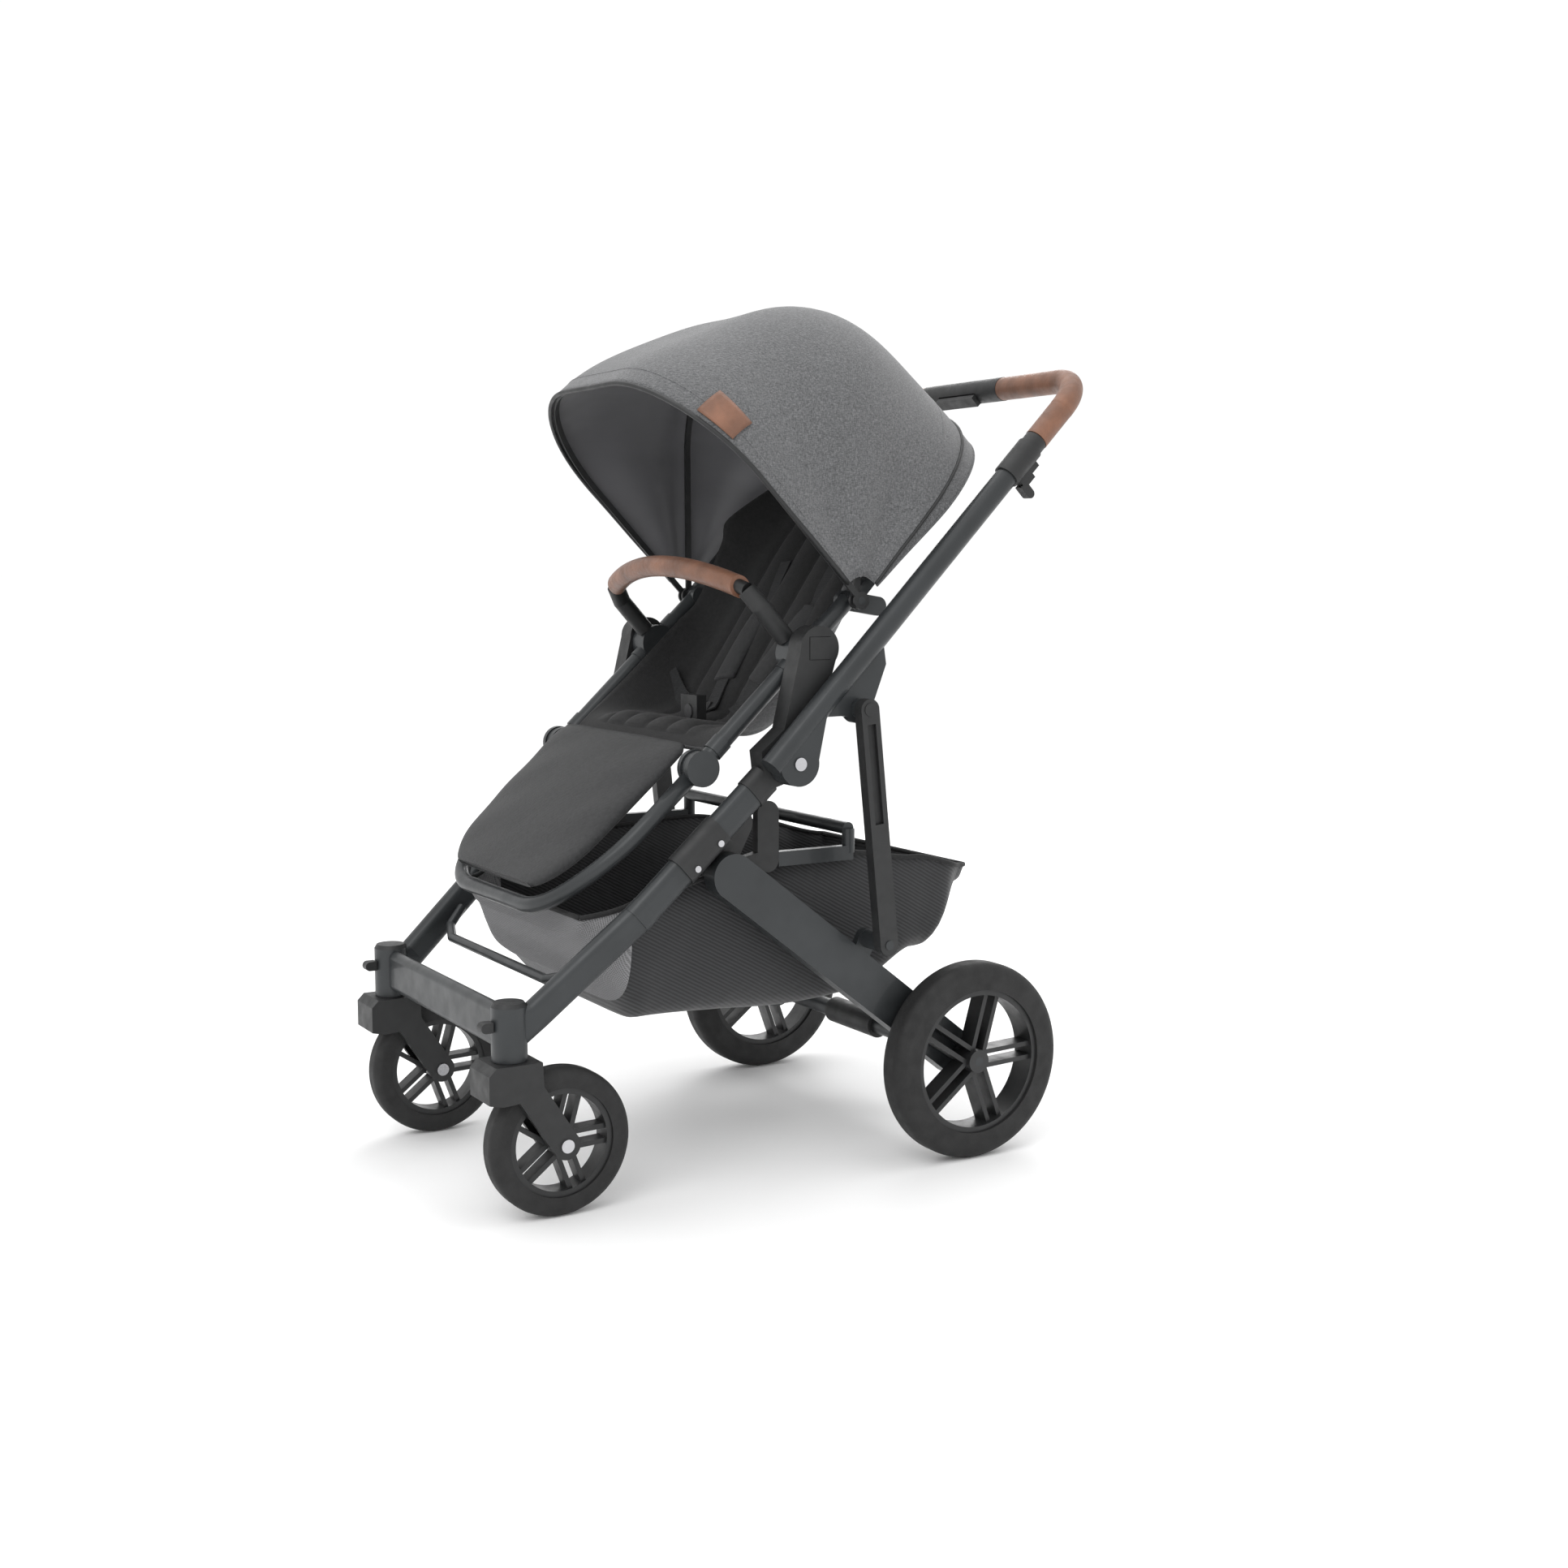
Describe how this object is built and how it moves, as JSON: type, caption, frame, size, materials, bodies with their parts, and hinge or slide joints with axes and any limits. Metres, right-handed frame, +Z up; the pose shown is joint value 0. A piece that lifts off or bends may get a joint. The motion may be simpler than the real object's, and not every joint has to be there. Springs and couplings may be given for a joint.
{
  "type": "baby stroller",
  "caption": "Folding baby stroller with swivelling front wheels, reclining seat, footrest, bumper bar, hinged canopy, storage basket and telescoping handle.",
  "frame": {"origin": "centre of the footprint box on the ground", "axes": "+Z up, +X to the seated child's left, the stroller faces -Y"},
  "size_m": [0.582, 0.839, 1.0778],
  "materials": {
    "frame": "satin",
    "moulded": "matte",
    "tyre": "matte",
    "rim": "satin",
    "leather": "satin",
    "heather": "matte",
    "dark_fabric": "matte",
    "basket_fabric": "matte",
    "rivet": "brushed",
    "red": "gloss"
  },
  "bodies": {
    "front_frame": {"front_crossbar": "frame", "caster_caps": "moulded", "front_leg_left": "frame", "front_leg_right": "frame", "leg_bracket_left": "moulded", "leg_bracket_right": "moulded", "adapter_post_left": "moulded", "adapter_post_right": "moulded", "basket_front_rail": "frame", "basket_support_rail": "frame", "basket": "basket_fabric", "frame_rivets": "rivet"},
    "handle_frame": {"handle_tube_left": "frame", "handle_tube_right": "frame", "handle_collar_left": "moulded", "handle_collar_right": "moulded"},
    "grip_bar": {"handlebar": "frame", "grip_left": "leather", "grip_right": "leather", "grip_centre_cover": "moulded"},
    "grip_button": {"telescope_button": "moulded"},
    "rear_frame": {"rear_leg_left": "frame", "rear_leg_right": "frame", "rear_axle": "frame"},
    "brake": {"brake_pedal": "moulded"},
    "links": {"fold_links": "moulded"},
    "seat": {"seat_frame": "frame", "seat_cushion": "dark_fabric", "backrest": "heather", "harness_straps": "dark_fabric", "harness_buckle": "moulded", "canopy_rear_panel": "heather"},
    "buckle_press": {"buckle_button": "red"},
    "recline_grip": {"recline_lever": "moulded"},
    "footrest": {"footrest_tube": "frame", "footrest_pad": "dark_fabric"},
    "bumper": {"bumper_tube": "moulded", "bumper_grip": "leather"},
    "canopy_front": {"canopy_front_bow": "moulded"},
    "canopy_middle": {"canopy_mid_bow": "moulded", "canopy_front_panel": "heather"},
    "trigger_left": {"fold_trigger_left": "moulded"},
    "caster_left": {"caster_fork_left": "moulded", "front_axle_left": "rivet"},
    "front_wheel_left": {"front_tyre_left": "tyre", "front_rim_left": "rim"},
    "rear_wheel_left": {"rear_tyre_left": "tyre", "rear_rim_left": "rim"},
    "swivel_stop_left": {"swivel_lock_left": "moulded"},
    "seat_button_left": {"seat_release_left": "moulded"},
    "trigger_right": {"fold_trigger_right": "moulded"},
    "caster_right": {"caster_fork_right": "moulded", "front_axle_right": "rivet"},
    "front_wheel_right": {"front_tyre_right": "tyre", "front_rim_right": "rim"},
    "rear_wheel_right": {"rear_tyre_right": "tyre", "rear_rim_right": "rim"},
    "swivel_stop_right": {"swivel_lock_right": "moulded"},
    "seat_button_right": {"seat_release_right": "moulded"}
  },
  "joints": [
    {"name": "handle_fold", "type": "hinge", "parent": "front_frame", "child": "handle_frame", "pos_m": [0, -0.0355, 0.522], "axis": [1, 0, 0], "range_deg": [0, 150]},
    {"name": "rear_leg_fold", "type": "hinge", "parent": "front_frame", "child": "rear_frame", "pos_m": [0, -0.1085, 0.388], "axis": [1, 0, 0], "range_deg": [0, 15.92]},
    {"name": "link_fold", "type": "hinge", "parent": "rear_frame", "child": "links", "pos_m": [0, 0.08244, 0.29361], "axis": [1, 0, 0], "range_deg": [0, 34.63]},
    {"name": "handle_reach", "type": "slide", "parent": "handle_frame", "child": "grip_bar", "axis": [0, 0.7022, 0.712], "range_m": [0, 0.06]},
    {"name": "grip_squeeze", "type": "slide", "parent": "grip_bar", "child": "grip_button", "axis": [0, 0.7022, 0.712], "range_m": [0, 0.0025], "stiffness_N_per_m": 400},
    {"name": "seat_recline", "type": "hinge", "parent": "front_frame", "child": "seat", "pos_m": [0, 0.0105, 0.65], "axis": [-1, 0, 0], "range_deg": [0, 35]},
    {"name": "footrest_tilt", "type": "hinge", "parent": "seat", "child": "footrest", "pos_m": [0, -0.13238, 0.51583], "axis": [-1, 0, 0], "range_deg": [0, 35]},
    {"name": "bumper_swing", "type": "hinge", "parent": "seat", "child": "bumper", "pos_m": [0.189, -0.0069, 0.66932], "axis": [0, -0.6691, 0.7431], "range_deg": [0, 22]},
    {"name": "canopy_fold", "type": "hinge", "parent": "seat", "child": "canopy_front", "pos_m": [0, 0.07902, 0.71435], "axis": [-1, 0, 0], "range_deg": [0, 72]},
    {"name": "canopy_middle_fold", "type": "hinge", "parent": "seat", "child": "canopy_middle", "pos_m": [0, 0.07902, 0.71435], "axis": [-1, 0, 0], "range_deg": [0, 36]},
    {"name": "buckle_push", "type": "slide", "parent": "seat", "child": "buckle_press", "axis": [0, 1, 0], "range_m": [0, 0.002], "stiffness_N_per_m": 400},
    {"name": "recline_squeeze", "type": "slide", "parent": "seat", "child": "recline_grip", "axis": [0, 0.5299, 0.848], "range_m": [0, 0.008], "stiffness_N_per_m": 300},
    {"name": "brake_press", "type": "hinge", "parent": "rear_frame", "child": "brake", "pos_m": [0, 0.2255, 0.127], "axis": [-1, 0, 0], "range_deg": [0, 20]},
    {"name": "fold_trigger_pull_left", "type": "slide", "parent": "handle_frame", "child": "trigger_left", "axis": [0, 0.7022, 0.712], "range_m": [0, 0.008], "stiffness_N_per_m": 300},
    {"name": "caster_swivel_left", "type": "hinge", "parent": "front_frame", "child": "caster_left", "pos_m": [0.198, -0.3825, 0.192], "axis": [0, 0, 1], "continuous": true},
    {"name": "front_wheel_spin_left", "type": "hinge", "parent": "caster_left", "child": "front_wheel_left", "pos_m": [0.198, -0.3245, 0.089], "axis": [1, 0, 0], "continuous": true},
    {"name": "rear_wheel_spin_left", "type": "hinge", "parent": "rear_frame", "child": "rear_wheel_left", "pos_m": [0.266, 0.2255, 0.127], "axis": [1, 0, 0], "continuous": true},
    {"name": "swivel_lock_lift_left", "type": "slide", "parent": "front_frame", "child": "swivel_stop_left", "axis": [0, 0, 1], "range_m": [0, 0.006]},
    {"name": "seat_release_press_left", "type": "slide", "parent": "front_frame", "child": "seat_button_left", "axis": [-1, 0, 0], "range_m": [0, 0.0015], "stiffness_N_per_m": 400},
    {"name": "fold_trigger_pull_right", "type": "slide", "parent": "handle_frame", "child": "trigger_right", "axis": [0, 0.7022, 0.712], "range_m": [0, 0.008], "stiffness_N_per_m": 300},
    {"name": "caster_swivel_right", "type": "hinge", "parent": "front_frame", "child": "caster_right", "pos_m": [-0.198, -0.3825, 0.192], "axis": [0, 0, 1], "continuous": true},
    {"name": "front_wheel_spin_right", "type": "hinge", "parent": "caster_right", "child": "front_wheel_right", "pos_m": [-0.198, -0.3245, 0.089], "axis": [1, 0, 0], "continuous": true},
    {"name": "rear_wheel_spin_right", "type": "hinge", "parent": "rear_frame", "child": "rear_wheel_right", "pos_m": [-0.266, 0.2255, 0.127], "axis": [1, 0, 0], "continuous": true},
    {"name": "swivel_lock_lift_right", "type": "slide", "parent": "front_frame", "child": "swivel_stop_right", "axis": [0, 0, 1], "range_m": [0, 0.006]},
    {"name": "seat_release_press_right", "type": "slide", "parent": "front_frame", "child": "seat_button_right", "axis": [1, 0, 0], "range_m": [0, 0.0015], "stiffness_N_per_m": 400}
  ],
  "couplings": [
    {"joint": "rear_leg_fold", "follows": "handle_fold", "ratio": 0.10606},
    {"joint": "link_fold", "follows": "handle_fold", "ratio": 0.23079},
    {"joint": "canopy_middle_fold", "follows": "canopy_fold", "ratio": 0.5}
  ]
}
